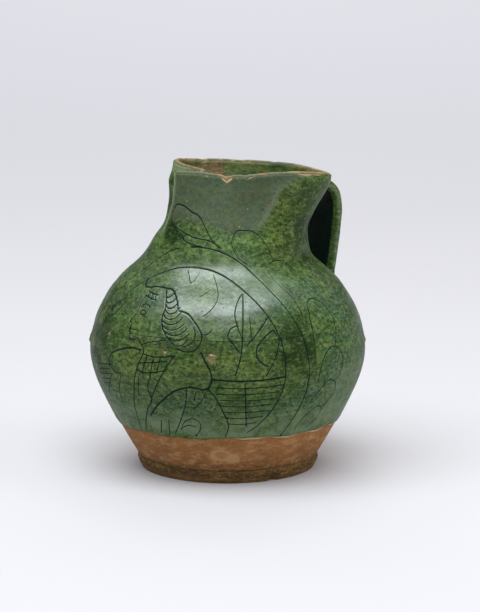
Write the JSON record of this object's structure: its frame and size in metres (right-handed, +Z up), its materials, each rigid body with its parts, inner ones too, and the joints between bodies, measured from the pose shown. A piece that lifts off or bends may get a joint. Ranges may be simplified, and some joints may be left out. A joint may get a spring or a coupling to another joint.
{
  "type": "ceramic jug",
  "caption": "Round-bellied earthenware jug with a pinched three-lobed mouth, a strap handle and a foot disc, green glazed over incised pale slip.",
  "frame": {"origin": "middle of the flat underside of the foot, on the jug's axis", "axes": "+Z up along the jug's axis, -Y towards the spout, +Y towards the handle"},
  "size_m": [0.184, 0.184, 0.2027],
  "materials": {
    "foot_clay": "bare fired red clay, smoke darkened and worn",
    "bare_clay": "bare fired red clay, matt",
    "pale_slip": "pale slip, matt",
    "green_glaze": "mottled copper green lead glaze, glossy",
    "lining_glaze": "thin green glaze over red clay, glossy"
  },
  "bodies": {
    "root": {"foot_disc": "foot_clay", "lower_bowl": "bare_clay", "upper_bowl": "bare_clay", "neck": "bare_clay", "slip_coat": "pale_slip", "glaze_coat": "green_glaze", "mouth_lining": "lining_glaze", "handle_strap": "bare_clay", "handle_glaze": "green_glaze", "handle_top_luting": "green_glaze", "handle_foot_luting": "green_glaze"}
  },
  "joints": []
}
